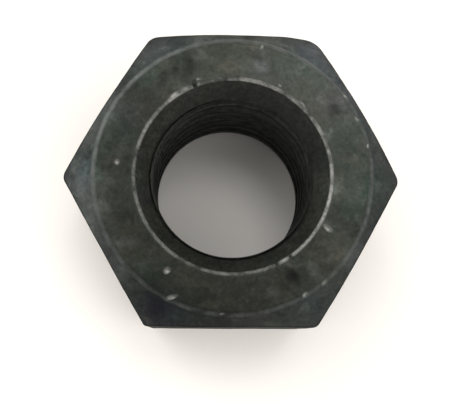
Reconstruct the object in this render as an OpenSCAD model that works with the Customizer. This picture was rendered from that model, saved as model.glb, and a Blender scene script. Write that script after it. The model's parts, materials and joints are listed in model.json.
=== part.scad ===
// Heavy hex nut for a 1 inch, 8 threads per inch bolt.
// Origin at the centre of the lower bearing face, on the thread's axis.
// +Z runs along the thread's axis. Two flats face +Y and -Y, two corners point to +X and -X.

/* [Thread] */
// Nominal thread diameter, across the thread's roots
thread_d = 25.4; // [25:0.1:26.2]
// Pitch, the thread's rise in one turn
thread_pitch = 3.175; // [2.8:0.025:3.5]
// Diameter of the tapped hole, across the thread's crests
minor_d = 22.5; // [22:0.05:22.6]
// Included angle of the thread's two flanks
flank_angle = 60; // [50:1:60]
// Direction in which the thread's root crosses the mid-height of the nut, in degrees
thread_start = 180; // [0:5:355]

/* [Hexagon] */
// Width across flats
across_flats = 41.275; // [40:0.125:46]
// How much each upright corner is rounded back from a sharp one
corner_break = 0.18; // [0.05:0.01:0.5]
// Height over both bearing faces
nut_h = 25; // [20:0.5:32]

/* [Chamfers] */
// Diameter of each flat bearing face, inside its corner chamfer
bearing_d = 38.8; // [34:0.1:39.8]
// Angle between the corner chamfer and the bearing face
chamfer_angle = 30; // [15:1:45]
// Diameter of each countersink at its bearing face
csk_d = 27.7; // [26.8:0.1:32]
// Included angle of each countersink
csk_angle = 90; // [80:5:130]

/* [Smoothness] */
// Facets in each turn of the thread
turn_facets = 48; // [24:12:72]

/* [Hidden] */
$fn = 144;

// Margin by which a cutting shape passes beyond the face that it cuts
margin = 1;

// Radius of a hexagonal prism whose flats are across_flats apart
sharp_corner_r = across_flats / 2 / cos(30);
// Radius of the rounded corners
corner_r = sharp_corner_r - corner_break;
bearing_r = bearing_d / 2;
// Height that the corner chamfer takes off a corner
chamfer_drop = (corner_r + margin - bearing_r) * tan(chamfer_angle);

minor_r = minor_d / 2;
csk_r = csk_d / 2;
// Rise of the countersink's cone for each unit of radius
csk_slope = tan(90 - csk_angle / 2);

// The groove's section: a flat root one eighth of the pitch wide, widening inwards
root_r = thread_d / 2;
root_flat = thread_pitch / 8;
mouth_r = minor_r - 0.3;
mouth_flat = root_flat + 2 * (root_r - mouth_r) * tan(flank_angle / 2);
GROOVE = [
    [root_r, -root_flat / 2],
    [root_r, root_flat / 2],
    [mouth_r, mouth_flat / 2],
    [mouth_r, -mouth_flat / 2]
];

// Turns on each side of mid-height, so that the groove runs out past both bearing faces
half_turns = nut_h / 2 / thread_pitch + 1;
ring_count = ceil(2 * half_turns * turn_facets);

// One ring of the groove's section, where step runs from 0 to ring_count
function groove_ring(step) =
    let (turn = step / turn_facets - half_turns, a = thread_start + 360 * turn)
    [for (p = GROOVE) [p.x * cos(a), p.x * sin(a), nut_h / 2 + thread_pitch * turn + p.y]];

// The two triangles between side k of ring step and the same side of the next ring
function groove_side(step, k) =
    let (n = len(GROOVE), a = step * n + k, b = step * n + (k + 1) % n)
    [[a, b, b + n], [a, b + n, a + n]];

// The helical cutter that leaves the thread, as one closed band
module thread_groove() {
    n = len(GROOVE);
    points = [for (step = [0:ring_count]) each groove_ring(step)];
    sides = [for (step = [0:ring_count - 1], k = [0:n - 1]) each groove_side(step, k)];
    first_cap = [[for (k = [n - 1:-1:0]) k]];
    last_cap = [[for (k = [0:n - 1]) ring_count * n + k]];
    polyhedron(points, concat(sides, first_cap, last_cap));
}

// A round blank with both ends chamfered, which trims the hexagon's corners
module chamfered_round() {
    rotate_extrude()
        polygon([
            [0, 0],
            [bearing_r, 0],
            [corner_r + margin, chamfer_drop],
            [corner_r + margin, nut_h - chamfer_drop],
            [bearing_r, nut_h],
            [0, nut_h]
        ]);
}

module hexagon_blank() {
    intersection() {
        cylinder(h = nut_h, r = sharp_corner_r, $fn = 6);
        cylinder(h = nut_h, r = corner_r);
        chamfered_round();
    }
}

// The plain hole with a countersink at each end
module countersunk_hole() {
    outer_r = csk_r + margin / csk_slope;
    axis_depth = csk_r * csk_slope;
    translate([0, 0, -margin])
        cylinder(h = nut_h + 2 * margin, r = minor_r);
    translate([0, 0, -margin])
        cylinder(h = axis_depth + margin, r1 = outer_r, r2 = 0);
    translate([0, 0, nut_h - axis_depth])
        cylinder(h = axis_depth + margin, r1 = 0, r2 = outer_r);
}

module hex_nut() {
    color([0.22, 0.23, 0.22])
        difference() {
            hexagon_blank();
            countersunk_hole();
            thread_groove();
        }
}

hex_nut();
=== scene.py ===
"""Looks of the heavy hex nut: one detailed mesh in blackened steel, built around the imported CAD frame."""

import json
import math
import random
from collections import namedtuple

import bmesh
import bpy
import numpy as np
from mathutils import Matrix, Vector, noise


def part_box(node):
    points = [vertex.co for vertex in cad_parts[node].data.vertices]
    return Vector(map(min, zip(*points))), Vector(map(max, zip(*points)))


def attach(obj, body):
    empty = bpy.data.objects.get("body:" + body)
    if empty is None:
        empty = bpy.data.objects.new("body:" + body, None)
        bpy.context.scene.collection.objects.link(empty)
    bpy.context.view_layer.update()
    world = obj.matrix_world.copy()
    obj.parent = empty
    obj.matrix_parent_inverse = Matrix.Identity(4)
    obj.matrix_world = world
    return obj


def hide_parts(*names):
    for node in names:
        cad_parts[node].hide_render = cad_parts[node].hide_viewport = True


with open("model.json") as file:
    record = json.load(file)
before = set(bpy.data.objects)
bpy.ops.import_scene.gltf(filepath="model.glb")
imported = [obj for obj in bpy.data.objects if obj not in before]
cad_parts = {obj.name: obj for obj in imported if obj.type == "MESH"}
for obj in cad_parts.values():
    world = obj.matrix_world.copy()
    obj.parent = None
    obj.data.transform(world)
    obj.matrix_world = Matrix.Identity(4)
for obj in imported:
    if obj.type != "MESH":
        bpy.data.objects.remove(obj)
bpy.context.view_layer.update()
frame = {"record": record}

MM = 0.001

# ---------------------------------------------------------------- sizes, in millimetres
NODE = "hex_nut"
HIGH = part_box(NODE)[1]
THREAD = next(m for m in frame["record"]["mounts"] if m["name"] == "thread")

HEIGHT = HIGH.z / MM
FLAT_R = HIGH.y / MM                  # half the width across flats
CREST_R = THREAD["dims"]["r_mm"]
ROOT_R = 12.7                         # half the nominal thread diameter
PITCH = 3.175
ROOT_FLAT = PITCH / 8
FLANK = math.radians(30)              # between a flank and a plane across the axis
CREST_BAND = 0.2                      # depth past the crest over which the crest's finish gives way
RUN_IN = 1.6                          # how far inside each face the thread begins
RUN_IN_LENGTH = 2.2                   # over what further depth it grows to its full section
THREAD_START = math.radians(180)      # where the groove crosses mid-height
SINK_R = 13.75                        # countersink at the bearing face
SINK = math.radians(45)               # slope of the countersink below the bearing face
BEARING_R = 19.4                      # flat bearing face, inside the corner chamfer
CHAMFER = math.radians(30)            # slope of the corner chamfer
CORNER_R = FLAT_R / math.cos(math.radians(30))
# How softly the thread's crests and roots turn, and how softly the thread meets the countersinks
CREST_SOFTNESS, ROOT_SOFTNESS, MOUTH_SOFTNESS = 0.2, 0.3, 0.1

# How far each rounded edge reaches from where its two surfaces would meet
RIM_ROUND = 0.38
RING_ROUND = 0.55
EDGE_ROUND = 0.3
# How softly each upright corner turns, from the corner at +X anticlockwise
CORNER_SOFTNESS = (0.95, 1.9, 1.15, 0.9, 0.45, 0.75)
# How far the forged hexagon sits off the centre of the turned faces and bore, how much it is over size,
# and where its side swells most: direction, half-width of the swelling and its height
HEXAGON_OFFSET = (-0.03, -0.2)
HEXAGON_SPREAD = 0.08
SWELLING_AT, SWELLING_HALF, SWELLING = math.radians(70), math.radians(6), 0.22

# ---------------------------------------------------------------- mesh density
COLUMNS = 432                         # steps around the axis
CORNER_CROWDING = 0.5                 # 0 spaces the columns evenly, towards 1 crowds them at the corners
SINK_ROWS = 8
FACE_ROWS = 16
CHAMFER_ROWS = 5
SIDE_ROWS = 14
ROUND_ROWS = 6
ROWS_FROM_ROOT = (0, 0.2, 0.55, 0.93, 1.06)   # where rows lie between a root and the crest above it
JOIN_DEPTH = 0.25                     # how far past each countersink's foot the helical rows take over
JOIN_SLACK = 1e-6                     # nearer than this to the join, a helical row ends on it
# How far around a mark each round of cutting reaches: a share of its half length, and a margin
CUT_ROUNDS = ((1.7, 0.3), (1.35, 0.1))

# ---------------------------------------------------------------- unevenness
# Layers of noise on the skin: height, size and seed
FORGED_WAVES, FORGED_BUMPS = (0.11, 9, 3), (0.035, 2.4, 11)
TURNED_WAVES, TURNED_BUMPS = (0.016, 4, 31), (0.007, 1.1, 37)
TORN_THREAD = (0.03, 0.9, 43)
# Pits in the scale: how steeply they deepen, the noise level where they start, and the noise's size and seed
PIT_DEPTH, PIT_LEVEL, PIT_GRAIN = 0.07, 0.42, (1.3, 23)

# ---------------------------------------------------------------- marks of use
# How bare each edge is rubbed, from 0 to 1, with the direction it is rubbed most and how much that varies
RIM_WEAR, RIM_SIDE, RIM_SWING = 0.5, math.radians(50), 0.5
RING_WEAR, RING_SIDE, RING_SWING = 0.07, math.radians(100), 0.25
RING_POLISH = 0.85
# Painted shade, as a share of soot colour, along the outer edge of the chamfer, on the thread's flanks and
# on the far side of the countersink, and the direction of that far side
EDGE_SHADE = 0.8
FLANK_SHADE = 0.5
SINK_SHADE, SHADED_SIDE = 0.85, math.radians(60)
CREST_POLISH = 1.0                    # how polished the thread's crests are
# How abruptly the bore's shaded side, with painted shade, gives way to its lit side, with painted light
LIT_SIDE_CONTRAST = 0.9
# The share of their darkness, painted shade, that the thread's flanks keep at the foot of the bore, so that
# the foot is painted lighter, and what the lit side takes off their darkness as painted light
FOOT_SHARE, LIT_FLANK = 0.25, 0.6
# The crests' polish at the foot of the bore, part of it a painted highlight, what it loses towards the top,
# and the painted highlight that the lit side adds
FOOT_POLISH_AND_HIGHLIGHT, HIGHLIGHT_LOSS, LIT_SIDE_HIGHLIGHT = 1.5, 0.5, 0.6

# A dent or nick: its centre, the way it runs, half its length and width, its depth, and its raised lip as a
# share of that depth.
# Above 0, bright is how bare it is rubbed, and below 0 how sooty it is.
Mark = namedtuple("Mark", "place along long wide deep lip bright")
DENT_BRIGHT, LOOSE_BRIGHT = 0.95, 0.5
DENT_LIP, SMUDGE_LIP, NOTCH_LIP, LOOSE_LIP = 0.2, 0.15, 0.1, 0.3
# Section of a mark: where its lip is highest and how wide that is, as shares of its outline, and the power
# of its pit's curve
LIP_AT, LIP_WIDTH, PIT_POWER = 1.2, 0.28, 1.5
MARK_REACH, MARK_MARGIN = 2, 0.2      # how far a mark is felt: a share of its half length, and a margin

# Dents on the upper face: x, y, half length, half width, direction in degrees and depth
FACE_DENTS = (
    (-16.1, 1.4, 0.32, 0.26, 80, 0.1),
    (-8.9, -13.5, 0.42, 0.36, 20, 0.12),
    (-8.3, -17.1, 0.72, 0.26, 15, 0.1),
    (13.1, -7.4, 0.56, 0.3, 140, 0.12),
    (-5.0, 13.6, 0.36, 0.2, 20, 0.1),
    (3.9, 18.6, 0.36, 0.24, 60, 0.08),
    (17.4, 8.2, 0.46, 0.2, 120, 0.08),
    (15.8, 11.6, 0.5, 0.22, 130, 0.08),
    (9.9, -16.6, 0.4, 0.26, 40, 0.08),
    (12.6, -14.9, 0.5, 0.26, 45, 0.08),
    (-19.0, -7.6, 0.24, 0.18, 60, 0.06),
    (-1.4, -19.2, 0.34, 0.16, 10, 0.06),
    (18.9, 4.4, 0.34, 0.16, 80, 0.06),
    (6.5, 12.9, 0.3, 0.18, 150, 0.08),
    (14.2, 12.9, 0.3, 0.16, 130, 0.08),
)
# Places where the rim is rubbed barest, given as the dents are
RIM_RUBS = (
    (-8.3, 11.2, 0.8, 0.24, 37, 0.02),
    (-7.0, 12.0, 0.8, 0.24, 31, 0.02),
    (9.6, 10.2, 0.5, 0.2, 133, 0.02),
)
# Notches across the rim: direction in degrees, half length, half width and depth
RIM_NOTCHES = (
    (113.5, 0.8, 0.35, 0.3),
    (-55, 0.8, 0.35, 0.2),
    (-64, 0.6, 0.25, 0.15),
)
NOTCH_SOOT = -0.35
# Shallow dark smudges in place of stamped characters, given as the dents are
SMUDGES = (
    (-10.1, 13.6, 1.2, 0.9, 60, 0.08),
    (-8.6, 14.7, 0.9, 0.7, 20, 0.06),
    (-6.6, 15.6, 1.4, 1.1, 100, 0.08),
    (8.0, -14.3, 1.5, 1.0, 125, 0.08),
    (14.1, 9.4, 1.1, 0.9, 60, 0.08),
)
SMUDGE_SOOT = -0.66

# Patches where the scale took another colour, and the two broad patches of painted sheen and painted shade:
# what each multiplies the colour by at the middle of the patch
TEAL = (0.9, 1.04, 1.05)
VIOLET = (1.06, 1.0, 1.14)
BLUE_BLACK = (0.62, 0.56, 0.8)
PALE_AND_SHEEN = (1.7, 1.7, 1.75)
HAZY = (1.22, 1.22, 1.22)
DIM_AND_SHADE = (0.74, 0.74, 0.74)
DARK = (0.62, 0.62, 0.62)
# Patches on the upper side: x, y, radius and colour
TOP_PATCHES = (
    # The first two patches are painted light, not scale colour: a broad painted sheen on the side towards
    # the key light, and broad painted shade on the side away from it
    (14, 13, 12, PALE_AND_SHEEN),
    (-13, -13, 10, DIM_AND_SHADE),
    (-12.3, 14.3, 2.6, TEAL),
    (-15.9, 5.5, 2.8, TEAL),
    (-19.9, 1.2, 2.6, TEAL),
    (16.5, 6.1, 2.8, TEAL),
    (16.4, -3.3, 3.4, TEAL),
    (20.6, -0.7, 3.0, TEAL),
    (9.4, 16.3, 2.6, TEAL),
    (13.0, 14.2, 2.2, TEAL),
    (11.8, 19.6, 2.8, VIOLET),
    (-12.0, 19.6, 2.6, VIOLET),
    (-8.4, 18.2, 2.6, TEAL),
    (-12.0, -14.1, 2.4, TEAL),
    (-7.2, -19.1, 2.2, TEAL),
    (11.3, -17.9, 2.4, TEAL),
    (14.2, 10.6, 2.2, VIOLET),
    (3.9, 15.4, 1.6, VIOLET),
    (-14.6, 8.6, 2.2, VIOLET),
    (-10.4, -18.7, 2.2, BLUE_BLACK),
    (-22.0, 0.0, 3.0, PALE_AND_SHEEN),
    (-20.6, 5.5, 2.6, PALE_AND_SHEEN),
    (-18.8, 9.6, 3.0, PALE_AND_SHEEN),
    (-21.0, -5.5, 2.6, PALE_AND_SHEEN),
    (-20.4, -2.0, 3.0, PALE_AND_SHEEN),
    (-19.4, -0.8, 1.6, HAZY),
    (-19.8, -7.0, 1.6, PALE_AND_SHEEN),
    (-15.6, -13.4, 2.4, PALE_AND_SHEEN),
    (-4.6, 20.4, 2.2, PALE_AND_SHEEN),
    (1.0, 17.4, 3.0, HAZY),
    (-8.6, 15.8, 2.4, HAZY),
    (5.4, 20.2, 2.6, HAZY),
    (4.6, 20.2, 1.7, HAZY),
    (0.3, 20.5, 2.2, HAZY),
    (-5.1, 19.9, 2.3, HAZY),
    (-17.6, 10.2, 2.2, HAZY),
    (-19.7, 5.3, 2.0, HAZY),
    (-20.2, -6.0, 3.0, HAZY),
    (-15.2, -14.6, 2.4, HAZY),
    (-17.8, -10.0, 2.4, PALE_AND_SHEEN),
    (-12.5, 17.5, 3.2, PALE_AND_SHEEN),
    (11.5, 18.5, 2.6, PALE_AND_SHEEN),
    (16.4, -11.0, 2.6, PALE_AND_SHEEN),
    (11.2, -16.6, 2.0, HAZY),
    (15.2, 2.0, 3.0, DIM_AND_SHADE),
    (-10.0, -19.0, 2.6, DIM_AND_SHADE),
    (-3.0, -20.4, 3.5, DIM_AND_SHADE),
    (-8.3, 14.8, 2.0, DIM_AND_SHADE),
    (8.1, -14.2, 1.6, DIM_AND_SHADE),
    (13.2, -1.5, 2.2, PALE_AND_SHEEN),
    (-6.4, 11.2, 2.0, PALE_AND_SHEEN),
    (5.6, 11.9, 1.5, VIOLET),
    (-12.6, -3.4, 1.6, VIOLET),
)
SEED = 41
LOOSE_PATCHES = 36                    # patches at random on the sides and the underside
LOOSE_COLOURS = (TEAL, TEAL, VIOLET, PALE_AND_SHEEN, DARK)
LOOSE_RADII = (2, 4.5)
PATCHES_BELOW = 5                     # how far under the upper face those on the sides stay
# How far from its middle a patch is felt, in radii, how ragged its outline is, and the noise's size and seed
PATCH_REACH, PATCH_RAGGED, PATCH_GRAIN, PATCH_SEED = 2.5, 0.45, 0.35, 53

LOOSE_NICKS = 26                      # small nicks at random on the corners, the flats and the lower face
NICK_LENGTHS, NICK_DEPTHS, NICK_SLIMNESS = (0.3, 0.7), (0.08, 0.16), (0.35, 0.6)
# How far nicks keep from both faces, how far in from a sharp corner they lie, how far they keep from the
# lower face's two edges, and how far from a flat's middle they may lie
END_MARGIN, CORNER_INSET, FACE_MARGIN, FLAT_SPAN = 4, 0.35, 0.5, 9


# ---------------------------------------------------------------- camera, light and floor
CAMERA_AT = Vector((-5.05, -22.42, 140.42)) * MM
CAMERA_AIM = Vector((-0.01, -3.74, 25.0)) * MM
CAMERA_TURN = math.radians(0.47)
LENS = 65.56
CLIP_START = 0.01

FLOOR_HALF = 3.0                      # half the floor's side, in metres
FLOOR_Z = -0.01 * MM                  # just clear of the nut's lower face
FLOOR_COLOUR = (0.805, 0.77, 0.728, 1)
FLOOR_ROUGHNESS = 0.8
WORLD_COLOUR = (1, 0.99, 0.975, 1)
ZENITH_FROM = 0.8                     # how high up, from 0 to 1, the sky is as strong as overhead


def add_camera():
    forward = (CAMERA_AIM - CAMERA_AT).normalized()
    right = forward.cross(Vector((0, 1, 0))).normalized()
    up = right.cross(forward)
    level = Matrix((right, up, -forward)).transposed()
    camera = bpy.data.objects.new("camera", bpy.data.cameras.new("camera"))
    camera.data.lens = LENS
    camera.data.clip_start = CLIP_START
    turned = level @ Matrix.Rotation(CAMERA_TURN, 3, "Z")
    camera.matrix_world = Matrix.Translation(CAMERA_AT) @ turned.to_4x4()
    bpy.context.scene.collection.objects.link(camera)
    bpy.context.scene.camera = camera


def add_light(name, azimuth, height, size, power):
    """A round soft light one metre from the nut, at an azimuth and a height above the floor in degrees."""
    light = bpy.data.lights.new(name, "AREA")
    light.shape = "DISK"
    light.size = size
    light.energy = power
    lamp = bpy.data.objects.new(name, light)
    turn, rise = math.radians(azimuth), math.radians(height)
    lamp.location = (math.cos(turn) * math.cos(rise), math.sin(turn) * math.cos(rise), math.sin(rise))
    lamp.rotation_euler = (-lamp.location).to_track_quat("-Z", "Y").to_euler()
    bpy.context.scene.collection.objects.link(lamp)


def add_floor():
    mesh = bpy.data.meshes.new("floor")
    corners = [(x * FLOOR_HALF, y * FLOOR_HALF, FLOOR_Z) for x, y in ((-1, -1), (1, -1), (1, 1), (-1, 1))]
    mesh.from_pydata(corners, [], [(0, 1, 2, 3)])
    floor = bpy.data.objects.new("floor", mesh)
    bpy.context.scene.collection.objects.link(floor)
    material = bpy.data.materials.new("floor")
    material.use_nodes = True
    shader = material.node_tree.nodes["Principled BSDF"]
    shader.inputs["Base Color"].default_value = FLOOR_COLOUR
    shader.inputs["Roughness"].default_value = FLOOR_ROUGHNESS
    mesh.materials.append(material)


def add_world(zenith, horizon):
    """Soft light from all round, with one strength overhead and another at the horizon."""
    world = bpy.data.worlds.new("world")
    world.use_nodes = True
    tree = world.node_tree
    direction = tree.nodes.new("ShaderNodeTexCoord")
    split = tree.nodes.new("ShaderNodeSeparateXYZ")
    strength = tree.nodes.new("ShaderNodeMapRange")
    strength.inputs["From Max"].default_value = ZENITH_FROM
    strength.inputs["To Min"].default_value = horizon
    strength.inputs["To Max"].default_value = zenith
    tree.links.new(direction.outputs["Generated"], split.inputs[0])
    tree.links.new(split.outputs["Z"], strength.inputs["Value"])
    tree.links.new(strength.outputs["Result"], tree.nodes["Background"].inputs["Strength"])
    tree.nodes["Background"].inputs["Color"].default_value = WORLD_COLOUR
    bpy.context.scene.world = world


# ---------------------------------------------------------------- the nut's section
def smooth_max(a, b, width):
    blend = np.clip(0.5 + 0.5 * (a - b) / width, 0, 1)
    return b + (a - b) * blend + width * blend * (1 - blend)


def smooth_min(a, b, width):
    return -smooth_max(-a, -b, width)


def column_angles():
    even = np.arange(COLUMNS) * 2 * math.pi / COLUMNS
    return even - CORNER_CROWDING / 6 * np.sin(6 * even)


def hexagon_radius(angle):
    """Distance from the axis to the flats, with each corner turned softly."""
    def to_flat(facing):
        shift = HEXAGON_OFFSET[0] * np.cos(facing) + HEXAGON_OFFSET[1] * np.sin(facing)
        return (FLAT_R + HEXAGON_SPREAD + shift) / np.cos(angle - facing)

    corner = np.round(angle / math.radians(60)).astype(int)
    softness = np.array(CORNER_SOFTNESS)[corner % 6]
    half_side = math.radians(30)
    corner_at = 2 * corner * half_side
    sides = smooth_min(to_flat(corner_at - half_side), to_flat(corner_at + half_side), softness)
    return sides + SWELLING * np.exp(-((angle - SWELLING_AT) / SWELLING_HALF) ** 2)


def thread_radius(angle, z):
    """Radius of the threaded wall: flat roots, flanks and flat crests, all with soft edges."""
    phase = (z - HEIGHT / 2) / PITCH - (angle - THREAD_START) / (2 * math.pi)
    from_root = np.abs(phase - np.round(phase)) * PITCH
    flank = ROOT_R - (from_root - ROOT_FLAT / 2) / math.tan(FLANK)
    return smooth_min(smooth_max(flank, CREST_R, CREST_SOFTNESS), ROOT_R, ROOT_SOFTNESS)


def wall_radius(angle, z):
    """Radius of the bore's wall: the thread, opened by a countersink at each end."""
    upper = SINK_R - (HEIGHT - z) / math.tan(SINK)
    lower = SINK_R - z / math.tan(SINK)
    inside = np.clip((np.minimum(z, HEIGHT - z) - RUN_IN) / RUN_IN_LENGTH, 0, 1)
    thread = CREST_R + (thread_radius(angle, z) - CREST_R) * inside ** 2 * (3 - 2 * inside)
    return smooth_max(thread, np.maximum(upper, lower), MOUTH_SOFTNESS)


def rounded_corner(before, corner, after, reach):
    """Rows that turn from one line of the section to the next. A point is (r, z), one value per column."""
    def towards(target):
        step = [t - c for t, c in zip(target, corner)]
        length = np.hypot(*step)
        return [c + s * reach / length for c, s in zip(corner, step)]

    start = towards(before)
    end = towards(after)
    return [
        [(1 - t) ** 2 * s + 2 * t * (1 - t) * c + t ** 2 * e for s, c, e in zip(start, corner, end)]
        for t in np.linspace(0, 1, ROUND_ROWS)
    ]


def between(first, last, count):
    """Rows spaced evenly between two rows, leaving both out."""
    share = np.arange(1, count + 1) / (count + 1)
    return [[a + (b - a) * t for a, b in zip(first, last)] for t in share]


# Finish of a row: how far it is machined, chamfered or inside the bore, and how sooty, worn and polished,
# where the bore share, the soot and the polish also carry painted shade and painted highlights
Finish = namedtuple("Finish", "machined chamfer bore soot wear polish")
SIDE = Finish(0, 0, 0, 0, 0, 0)
CHAMFERED = Finish(0.7, 1, 0, 0, 0, 0)
FACED = Finish(1, 0, 0, 0, 0, 0)
SUNK = Finish(1, 0, 0.5, 0, 0, 0)
THREADED = Finish(1, 0, 1, 0, 0, 0)


def rounded_finishes(before, after, **edge):
    """Finishes across a rounded edge, with its own wear, polishing or darkening, strongest along its middle.
    The darkening along the chamfer's outer edge is painted shade.
    """
    rows = []
    for t in np.linspace(0, 1, ROUND_ROWS):
        mixed = Finish(*[b + (a - b) * t for b, a in zip(before, after)])
        middle = math.sin(math.pi * t)
        raised = {name: getattr(mixed, name) + value * middle for name, value in edge.items()}
        rows.append(mixed._replace(**raised))
    return rows


def by_direction(angle, value, side, swing):
    """A value that is largest towards one side of the nut and smallest away from it."""
    return value * (1 + swing * np.cos(angle - side))


def sunk(angle):
    """Finish of the countersinks, with painted shade that deepens towards one side."""
    return SUNK._replace(soot=by_direction(angle, SINK_SHADE / 2, SHADED_SIDE, 1))


def bore_finish(angle, z, radius, threaded):
    """Finish of a row of the bore's wall: polishing on the thread's crests and darkness beyond them. The
    flanks' darkness is painted shade, painted lighter towards the foot and on the lit side, where the crests
    also get a painted highlight.
    """
    crest = 1 - np.clip((radius - CREST_R) / CREST_BAND, 0, 1)
    up = z / HEIGHT
    # Painted light and shade: the bore is painted lighter on the side away from its shaded side
    lit_side = np.clip(0.5 - LIT_SIDE_CONTRAST * np.cos(angle - SHADED_SIDE), 0, 1)
    if threaded:
        flank = FOOT_SHARE + (1 - FOOT_SHARE) * up
        beyond = THREADED._replace(bore=flank * (1 - LIT_FLANK * lit_side), soot=FLANK_SHADE * flank)
    else:
        beyond = sunk(angle)
    # The crests' extra brightness towards the foot and on the lit side is a painted highlight
    polish = CREST_POLISH * crest * (FOOT_POLISH_AND_HIGHLIGHT - HIGHLIGHT_LOSS * up + LIT_SIDE_HIGHLIGHT * lit_side)
    return beyond._replace(bore=beyond.bore * (1 - crest), soot=beyond.soot * (1 - crest), polish=polish)


def upper_half(angle):
    """Rows of the section from the top rim outwards and down almost to mid-height, each with its finish."""
    one = np.ones_like(angle)
    side = hexagon_radius(angle)
    down_the_sink = (one * (SINK_R - math.cos(SINK)), one * (HEIGHT - math.sin(SINK)))
    rim = (one * SINK_R, one * HEIGHT)
    ring = (one * BEARING_R, one * HEIGHT)
    edge = (side, HEIGHT - (side - BEARING_R) * math.tan(CHAMFER))
    middle = (side, one * HEIGHT / 2)

    rim_rows = rounded_corner(down_the_sink, rim, ring, RIM_ROUND)
    ring_rows = rounded_corner(rim, ring, edge, RING_ROUND)
    edge_rows = rounded_corner(ring, edge, middle, EDGE_ROUND)
    face_rows = between(rim_rows[-1], ring_rows[0], FACE_ROWS)
    chamfer_rows = between(ring_rows[-1], edge_rows[0], CHAMFER_ROWS)
    side_rows = between(edge_rows[-1], middle, SIDE_ROWS // 2)

    rows = rim_rows + face_rows + ring_rows + chamfer_rows + edge_rows + side_rows
    rim_wear = by_direction(angle, RIM_WEAR, RIM_SIDE, RIM_SWING)
    ring_wear = by_direction(angle, RING_WEAR, RING_SIDE, RING_SWING)
    ring_polish = by_direction(angle, RING_POLISH, RING_SIDE, RING_SWING)
    finishes = rounded_finishes(sunk(angle), FACED, wear=rim_wear) + [FACED] * FACE_ROWS
    finishes += rounded_finishes(FACED, CHAMFERED, wear=ring_wear, polish=ring_polish)
    finishes += [CHAMFERED] * CHAMFER_ROWS
    # The dark line along the chamfer's outer edge is painted shade
    finishes += rounded_finishes(CHAMFERED, SIDE, soot=EDGE_SHADE) + [SIDE] * (SIDE_ROWS // 2)
    return list(zip(rows, finishes))


def thread_heights(angle, lowest, highest):
    """Heights of the rows that follow the helix, past both ends of the stretch between the countersinks."""
    from_root = np.array(ROWS_FROM_ROOT)
    offsets = np.concatenate([from_root, [PITCH / 2], PITCH - from_root[:0:-1]])
    turn = (angle - THREAD_START) / (2 * math.pi)
    first = math.floor((lowest - HEIGHT / 2) / PITCH - turn.max()) - 1
    last = math.ceil((highest - HEIGHT / 2) / PITCH - turn.min()) + 1
    rows = [HEIGHT / 2 + (k + turn) * PITCH + offset for k in range(first, last) for offset in offsets]
    return rows, len(offsets)


def nut_shell():
    """Vertices, faces and each vertex's finish, for the whole skin of the nut, in millimetres."""
    angle = column_angles()
    one = np.ones_like(angle)
    upper = upper_half(angle)
    (_, sink_top), _ = upper[0]
    join_z = HEIGHT - (SINK_R - CREST_R) * math.tan(SINK) - JOIN_DEPTH

    vertices, faces, finishes = [], [], []

    def add_row(radius, z, finish):
        first = len(vertices)
        vertices.extend(zip(radius * np.cos(angle), radius * np.sin(angle), z))
        finishes.extend(zip(*[value * one for value in finish]))
        return list(range(first, first + COLUMNS))

    def wall_row(z, threaded):
        radius = wall_radius(angle, z)
        return add_row(radius, z, bore_finish(angle, z, radius, threaded))

    def stitch(lower, higher, lower_next=None, higher_next=None):
        """Faces between two rows. Past the seam the helix has risen a turn, so other rows stand in there."""
        for j in range(COLUMNS):
            if j + 1 < COLUMNS:
                ring = [lower[j], lower[j + 1], higher[j + 1], higher[j]]
            else:
                ring = [lower[j], (lower_next or lower)[0], (higher_next or higher)[0], higher[j]]
            ring = [v for i, v in enumerate(ring) if v != ring[i - 1]]
            if len(ring) > 2:
                faces.append(ring)

    # outside, from the top rim round to the bottom rim
    outer = [add_row(r, z, finish) for (r, z), finish in upper]
    outer.append(add_row(hexagon_radius(angle), one * HEIGHT / 2, SIDE))
    outer += [add_row(r, HEIGHT - z, finish) for (r, z), finish in reversed(upper)]
    for a, b in zip(outer, outer[1:]):
        stitch(b, a)

    # countersinks
    depths = np.linspace(join_z, sink_top[0], SINK_ROWS + 2)[:-1]
    top_sink = [wall_row(one * z, False) for z in depths] + [outer[0]]
    for a, b in zip(top_sink, top_sink[1:]):
        stitch(b, a)
    bottom_sink = [wall_row(one * (HEIGHT - z), False) for z in depths] + [outer[-1]]
    for a, b in zip(bottom_sink, bottom_sink[1:]):
        stitch(a, b)

    # the thread, in rows that follow its helix and end where they meet the countersinks
    lower_end, upper_end = bottom_sink[0], top_sink[0]
    heights, per_turn = thread_heights(angle, HEIGHT - join_z, join_z)
    thread_rows = []
    for z in heights:
        inside = (z > HEIGHT - join_z + JOIN_SLACK) & (z < join_z - JOIN_SLACK)
        row = [None] * COLUMNS
        if inside.any():
            row = wall_row(np.clip(z, HEIGHT - join_z, join_z), True)
        thread_rows.append([
            row[j] if inside[j] else (lower_end[j] if z[j] < HEIGHT / 2 else upper_end[j])
            for j in range(COLUMNS)
        ])
    for k in range(len(thread_rows) - 1):
        beyond = k + per_turn
        low_next = thread_rows[beyond] if beyond < len(thread_rows) else upper_end
        high_next = thread_rows[beyond + 1] if beyond + 1 < len(thread_rows) else upper_end
        stitch(thread_rows[k + 1], thread_rows[k], high_next, low_next)
    return vertices, faces, finishes


# ---------------------------------------------------------------- dents, nicks and unevenness
def heading(degrees):
    """The level direction at an angle from +X."""
    turn = math.radians(degrees)
    return Vector((math.cos(turn), math.sin(turn), 0))


def marks_on_face(table, lip, bright):
    """The marks of one table, on the upper face."""
    return [
        Mark(Vector((x, y, HEIGHT)), heading(turn), long, wide, deep, lip, bright)
        for x, y, long, wide, turn, deep in table
    ]


def rim_notches():
    marks = []
    for turn, long, wide, deep in RIM_NOTCHES:
        outwards = heading(turn)
        place = outwards * SINK_R + Vector((0, 0, HEIGHT))
        marks.append(Mark(place, outwards, long, wide, deep, NOTCH_LIP, NOTCH_SOOT))
    return marks


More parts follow.
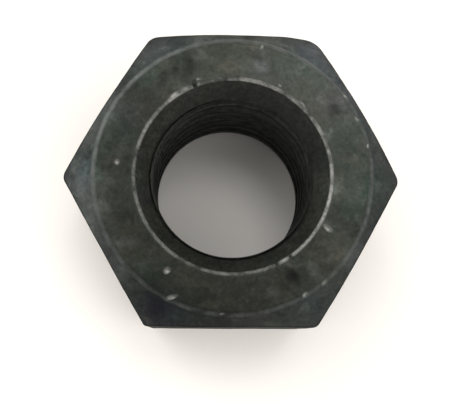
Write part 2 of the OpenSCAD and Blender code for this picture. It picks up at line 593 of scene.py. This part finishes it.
def loose_marks():
    """Nicks scattered over the upright corners, the lower face and its outer edge, and the flats."""
    rng = random.Random(SEED)
    marks = []
    for index in range(LOOSE_NICKS):
        turn = rng.uniform(0, 360)
        long = rng.uniform(*NICK_LENGTHS)
        deep = rng.uniform(*NICK_DEPTHS)
        slant = rng.uniform(0, 180)
        kind = index % 4
        if kind == 0:
            corner = heading(60 * rng.randrange(6))
            side = CORNER_R - CORNER_INSET
            place = corner * side + Vector((0, 0, rng.uniform(END_MARGIN, HEIGHT - END_MARGIN)))
            along = Vector((0, 0, 1))
        elif kind == 1:
            place = heading(turn) * BEARING_R
            along = heading(turn + 90)
        elif kind == 2:
            place = heading(turn) * rng.uniform(SINK_R + FACE_MARGIN, BEARING_R - FACE_MARGIN)
            along = heading(slant)
        else:
            flat = 30 + 60 * rng.randrange(6)
            across = rng.uniform(-FLAT_SPAN, FLAT_SPAN)
            up = rng.uniform(END_MARGIN, HEIGHT - END_MARGIN)
            sideways = heading(flat + 90)
            place = heading(flat) * FLAT_R + sideways * across + Vector((0, 0, up))
            along = (sideways * math.cos(slant) + Vector((0, 0, math.sin(slant)))).normalized()
        wide = long * rng.uniform(*NICK_SLIMNESS)
        marks.append(Mark(place, along, long, wide, deep, LOOSE_LIP, LOOSE_BRIGHT))
    return marks


def patches():
    """Every patch as its centre, radius and colour: the upper side's, then some at random below it."""
    rng = random.Random(SEED)
    found = [(Vector((x, y, HEIGHT)), reach, colour) for x, y, reach, colour in TOP_PATCHES]
    for index in range(LOOSE_PATCHES):
        colour = rng.choice(LOOSE_COLOURS)
        reach = rng.uniform(*LOOSE_RADII)
        way = heading(rng.uniform(0, 360))
        if index % 2:
            place = way * FLAT_R + Vector((0, 0, rng.uniform(0, HEIGHT - PATCHES_BELOW)))
        else:
            place = way * rng.uniform(SINK_R, CORNER_R)
        found.append((place, reach, colour))
    return found


def tint_at(point, found):
    """What the patches multiply the colour by at a point. Noise makes their outlines ragged."""
    tint = np.ones(3)
    for place, reach, colour in found:
        distance = (point - place).length / reach
        if distance < PATCH_REACH:
            distance *= 1 + PATCH_RAGGED * grain(point, reach * PATCH_GRAIN, PATCH_SEED)
            tint *= np.array(colour) ** math.exp(-distance ** 2)
    return (*tint, 1)


def mark_distance(mark, point):
    """How far a point lies from a mark's centre, as a share of its outline: 1 on the outline."""
    offset = point - mark.place
    along = offset.dot(mark.along)
    across = (offset - mark.along * along).length
    return math.hypot(along / mark.long, across / mark.wide)


def near(mark, point, reach):
    return (point - mark.place).length < reach


def refine_around(mesh, marks):
    """Cuts the mesh finer around each mark, twice, so that the mark has a shape of its own."""
    for widen, spare in CUT_ROUNDS:
        chosen = set()
        for mark in marks:
            reach = mark.long * widen + spare
            close = {v for v in mesh.verts if near(mark, v.co, reach)}
            chosen.update(e for v in close for e in v.link_edges if e.other_vert(v) in close)
        bmesh.ops.subdivide_edges(mesh, edges=list(chosen), cuts=1, use_grid_fill=True)


def grain(point, size, seed):
    """Smooth noise from about -1 to 1 with features of one size, in millimetres."""
    return noise.noise(point / size + Vector((seed, seed * 1.7, seed * 2.3)))


def relief(point, height, size, seed):
    """One layer of noise, as tall as its height."""
    return height * grain(point, size, seed)


def unevenness(point, machined, bore):
    """How far forging, scale and turning leave the skin above or below its plain shape."""
    forged = relief(point, *FORGED_WAVES) + relief(point, *FORGED_BUMPS)
    forged -= PIT_DEPTH * max(0, grain(point, *PIT_GRAIN) - PIT_LEVEL)
    turned = relief(point, *TURNED_WAVES) + relief(point, *TURNED_BUMPS)
    torn = relief(point, *TORN_THREAD) * bore
    return forged + (turned - forged) * machined + torn


def shape_skin(mesh, layers, marks):
    """Moves each vertex along its normal: unevenness everywhere, and the marks."""
    mesh.normal_update()
    moves = []
    for vertex in mesh.verts:
        point = vertex.co.copy()
        move = unevenness(point, vertex[layers["machined"]], vertex[layers["bore"]])
        moves.append([vertex, vertex.normal.copy(), move])
    for mark in marks:
        reach = mark.long * MARK_REACH + MARK_MARGIN
        for entry in moves:
            vertex = entry[0]
            if not near(mark, vertex.co, reach):
                continue
            share = mark_distance(mark, vertex.co)
            pit = max(0, 1 - share ** 2) ** PIT_POWER
            lip = math.exp(-((share - LIP_AT) / LIP_WIDTH) ** 2)
            entry[2] += mark.deep * (mark.lip * lip - pit)
            layer = layers["wear"] if mark.bright > 0 else layers["soot"]
            cover = math.exp(-share ** 2)
            vertex[layer] = max(vertex[layer], abs(mark.bright) * cover)
            if mark.bright < 0:
                vertex[layers["wear"]] *= 1 - cover
    for vertex, normal, move in moves:
        vertex.co += normal * move
        vertex.co.z = max(vertex.co.z, 0)


def build_nut():
    vertices, faces, finishes = nut_shell()
    mesh = bpy.data.meshes.new("nut")
    mesh.from_pydata(vertices, [], faces)

    skin = bmesh.new()
    skin.from_mesh(mesh)
    layers = {name: skin.verts.layers.float.new(name) for name in Finish._fields}
    for vertex, finish in zip(skin.verts, finishes):
        for name, value in zip(Finish._fields, finish):
            vertex[layers[name]] = value
    tint = skin.verts.layers.float_color.new("tint")
    bmesh.ops.delete(skin, geom=[v for v in skin.verts if not v.link_faces], context="VERTS")
    bmesh.ops.recalc_face_normals(skin, faces=skin.faces)

    # cuts get a finer mesh around them, and stains are too soft or too shallow to need one
    cuts = marks_on_face(FACE_DENTS, DENT_LIP, DENT_BRIGHT) + rim_notches() + loose_marks()
    stains = marks_on_face(SMUDGES, SMUDGE_LIP, SMUDGE_SOOT) + marks_on_face(RIM_RUBS, 0, DENT_BRIGHT)
    refine_around(skin, cuts)
    found = patches()
    for vertex in skin.verts:
        vertex[tint] = tint_at(vertex.co, found)
    shape_skin(skin, layers, cuts + stains)
    bmesh.ops.scale(skin, vec=(MM, MM, MM), verts=skin.verts)

    open_edges = sum(not e.is_manifold for e in skin.edges)
    triangles = sum(len(f.verts) - 2 for f in skin.faces)
    volume = round(skin.calc_volume() / MM ** 3)
    print("nut:", triangles, "triangles,", open_edges, "open edges,", volume, "mm3")
    skin.to_mesh(mesh)
    skin.free()
    mesh.polygons.foreach_set("use_smooth", [True] * len(mesh.polygons))

    nut = bpy.data.objects.new("nut", mesh)
    bpy.context.scene.collection.objects.link(nut)
    return nut


# ---------------------------------------------------------------- blackened steel
class Graph:
    """Adds shader nodes to a material. Each method returns the socket that carries its result."""

    def __init__(self, material):
        self.tree = material.node_tree
        self.place = self.tree.nodes.new("ShaderNodeTexCoord").outputs["Object"]

    def add(self, kind, output, inputs, **settings):
        node = self.tree.nodes.new(kind)
        for name, value in settings.items():
            setattr(node, name, value)
        for name, value in inputs.items():
            if isinstance(value, bpy.types.NodeSocket):
                self.tree.links.new(value, node.inputs[name])
            else:
                node.inputs[name].default_value = value
        return node.outputs[output]

    def attribute(self, name):
        return self.add("ShaderNodeAttribute", "Fac", {}, attribute_name=name)

    def noise(self, size, detail=3.0, rough=0.55, twist=0.0, shift=0.0):
        """Noise with features of one size, in millimetres."""
        step = (shift, shift, shift)
        moved = self.add("ShaderNodeVectorMath", 0, {0: self.place, 1: step}, operation="ADD")
        return self.add("ShaderNodeTexNoise", 0, {
            "Vector": moved,
            "Scale": 1 / (size * MM),
            "Detail": detail,
            "Roughness": rough,
            "Distortion": twist,
        })

    def rings(self, size):
        """Noise that changes only with the distance from the axis, as turned steel has."""
        flat = self.add("ShaderNodeVectorMath", 0, {0: self.place, 1: (1, 1, 0)}, operation="MULTIPLY")
        radius = self.add("ShaderNodeVectorMath", "Value", {0: flat}, operation="LENGTH")
        inputs = {"W": radius, "Scale": 1 / (size * MM), "Detail": 2.0}
        return self.add("ShaderNodeTexNoise", 0, inputs, noise_dimensions="1D")

    def tinted(self, colour, name):
        """A colour multiplied by a colour attribute."""
        tint = self.add("ShaderNodeAttribute", "Color", {}, attribute_name=name)
        inputs = {0: 1.0, 6: colour, 7: tint}
        return self.add("ShaderNodeMix", 2, inputs, data_type="RGBA", blend_type="MULTIPLY")

    def scaled(self, colour, share):
        """A colour made brighter or darker."""
        return self.add("ShaderNodeVectorMath", 0, {0: colour, "Scale": share}, operation="SCALE")

    def rise(self, value, low, high):
        """0 below low, 1 above high and smooth between."""
        inputs = {0: value, 1: low, 2: high}
        return self.add("ShaderNodeMapRange", 0, inputs, interpolation_type="SMOOTHSTEP")

    def math(self, operation, a, b):
        return self.add("ShaderNodeMath", 0, {0: a, 1: b}, operation=operation)

    def between(self, share, a, b):
        """A number between a and b."""
        return self.add("ShaderNodeMix", 0, {0: share, 2: a, 3: b}, data_type="FLOAT")

    def blend(self, share, a, b):
        """A colour between a and b."""
        return self.add("ShaderNodeMix", 2, {0: share, 6: a, 7: b}, data_type="RGBA")


# Reflected colour of each state of the skin
# The soot colour also serves as painted shade in the bore and along the chamfer's edge
SOOT_AND_SHADE = (0.00624, 0.0065, 0.00624, 1)
CHARCOAL = (0.0208, 0.0218, 0.0177, 1)
GREEN_GREY = (0.026, 0.0317, 0.026, 1)
BROWN_GREY = (0.0322, 0.0317, 0.025, 1)
BLUE_GREY = (0.0205, 0.0215, 0.021, 1)
PALE_SCALE = (0.0546, 0.0562, 0.0504, 1)
RUBBED = (0.05, 0.052, 0.048, 1)
# The polished colour also serves as a painted highlight on the thread's crests
POLISHED_AND_LIT = (0.085, 0.09, 0.085, 1)
WORN_STEEL = (0.21, 0.206, 0.19, 1)
METALLIC, SPECULAR, SPECULAR_TINT = 0.9, 0.3, (0.3, 0.3, 0.3, 1)
# How much rougher forged scale and the bore are than the faced steel
FORGED_ROUGHER, BORE_ROUGHER = 0.12, 0.1
BUMP_STRENGTH, BUMP_HEIGHT = 0.6, 0.03 * MM


def black_steel():
    """Black oxide over forged and turned steel: mottled scale, fine grain, and bare metal where worn."""
    material = bpy.data.materials.new("black_steel")
    material.use_nodes = True
    shader = material.node_tree.nodes["Principled BSDF"]
    g = Graph(material)
    machined, chamfer, bore = g.attribute("machined"), g.attribute("chamfer"), g.attribute("bore")
    soot, wear, polish = g.attribute("soot"), g.attribute("wear"), g.attribute("polish")

    # scale colours in patches of several sizes
    green = g.rise(g.noise(9, detail=3, rough=0.55, twist=0.6), 0.42, 0.62)
    brown = g.rise(g.noise(6.5, detail=3, rough=0.6, twist=0.8, shift=0.13), 0.5, 0.68)
    pale = g.rise(g.noise(2.6, detail=4, rough=0.62, twist=0.3, shift=0.31), 0.5, 0.78)
    dark = g.rise(g.noise(2.1, detail=3, rough=0.6, twist=0.4, shift=0.47), 0.5, 0.75)
    blue = g.rise(g.noise(7, detail=2, rough=0.5, twist=0.3, shift=0.67), 0.35, 0.65)
    colour = g.blend(g.math("MULTIPLY", green, 0.4), CHARCOAL, GREEN_GREY)
    colour = g.blend(g.math("MULTIPLY", brown, 0.75), colour, BROWN_GREY)
    colour = g.blend(g.math("MULTIPLY", chamfer, g.between(blue, 0.55, 0.95)), colour, BLUE_GREY)
    colour = g.blend(g.math("MULTIPLY", pale, 0.5), colour, PALE_SCALE)
    colour = g.blend(g.math("MULTIPLY", dark, 0.4), colour, SOOT_AND_SHADE)
    # The bore's darkness; on the thread's flanks it is painted shade, painted lighter towards the foot and
    # on the lit side
    colour = g.blend(g.math("MULTIPLY", bore, 0.75), colour, SOOT_AND_SHADE)
    colour = g.tinted(colour, "tint")
    grit = g.rise(g.noise(0.55, detail=4, rough=0.7, shift=0.23), 0.28, 0.72)
    colour = g.scaled(colour, g.between(grit, g.between(bore, 0.8, 0.45), g.between(bore, 1.2, 1.7)))
    # Soot darkens the colour: real smudges and notches, and painted shade along the chamfer's edge, on the
    # thread's flanks and on the countersinks' shaded side
    colour = g.blend(g.math("MULTIPLY", soot, 0.75), colour, SOOT_AND_SHADE)

    # worn edges and dents: first rubbed scale, then bare metal that comes and goes along them
    drift = g.between(g.rise(g.noise(2.6, detail=3, rough=0.6, shift=0.71), 0.32, 0.66), 0.35, 1.5)
    speck = g.between(g.rise(g.noise(0.45, detail=3, rough=0.6, shift=0.59), 0.3, 0.7), 0.7, 1.25)
    worn = g.math("MULTIPLY", wear, g.math("MULTIPLY", drift, speck))
    patchy = g.rise(g.noise(1.8, detail=4, rough=0.65, shift=0.05), 0.2, 0.8)
    # Polish brightens the ring and the thread's crests; on the crests towards the foot and on the lit side
    # it is a painted highlight
    polished_and_lit = g.math("MULTIPLY", polish, g.between(patchy, 0.4, 1.2))
    colour = g.blend(g.rise(polished_and_lit, 0.1, 1.1), colour, POLISHED_AND_LIT)
    colour = g.blend(g.rise(worn, 0.01, 0.3), colour, RUBBED)
    colour = g.blend(g.rise(worn, 0.06, 1.1), colour, WORN_STEEL)

    fine = g.noise(0.22, detail=3, rough=0.6, shift=0.83)
    satin = g.between(g.noise(1.7, detail=4, rough=0.6, twist=0.3, shift=0.91), 0.28, 0.46)
    forged = g.math("SUBTRACT", 1.0, machined)
    rough = g.math("ADD", satin, g.math("MULTIPLY", forged, FORGED_ROUGHER))
    rough = g.math("ADD", rough, g.math("MULTIPLY", bore, BORE_ROUGHER))

    # turned surfaces carry faint rings, forged ones a coarser scale
    turned_height = g.math("MULTIPLY", g.rings(0.28), g.math("MULTIPLY", machined, 0.4))
    scale_height = g.math("MULTIPLY", g.noise(0.8, detail=4, rough=0.65, twist=0.4, shift=0.37), forged)
    height = g.math("ADD", g.math("ADD", turned_height, scale_height), g.math("MULTIPLY", fine, 0.35))
    relief_inputs = {"Strength": BUMP_STRENGTH, "Distance": BUMP_HEIGHT, "Height": height}
    bump = g.add("ShaderNodeBump", "Normal", relief_inputs)

    links = material.node_tree.links
    links.new(colour, shader.inputs["Base Color"])
    links.new(rough, shader.inputs["Roughness"])
    links.new(bump, shader.inputs["Normal"])
    shader.inputs["Metallic"].default_value = METALLIC
    shader.inputs["Specular IOR Level"].default_value = SPECULAR
    shader.inputs["Specular Tint"].default_value = SPECULAR_TINT
    return material


bpy.context.scene.view_settings.view_transform = "Standard"
add_camera()
add_world(zenith=0.5, horizon=3.8)
add_light("key", azimuth=60, height=72, size=0.35, power=1.8)
add_light("left_window", azimuth=135, height=55, size=0.8, power=3.0)
add_light("right_window", azimuth=335, height=55, size=0.8, power=1.9)
add_floor()

nut = build_nut()
nut.data.materials.append(black_steel())
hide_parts(NODE)
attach(nut, "root")
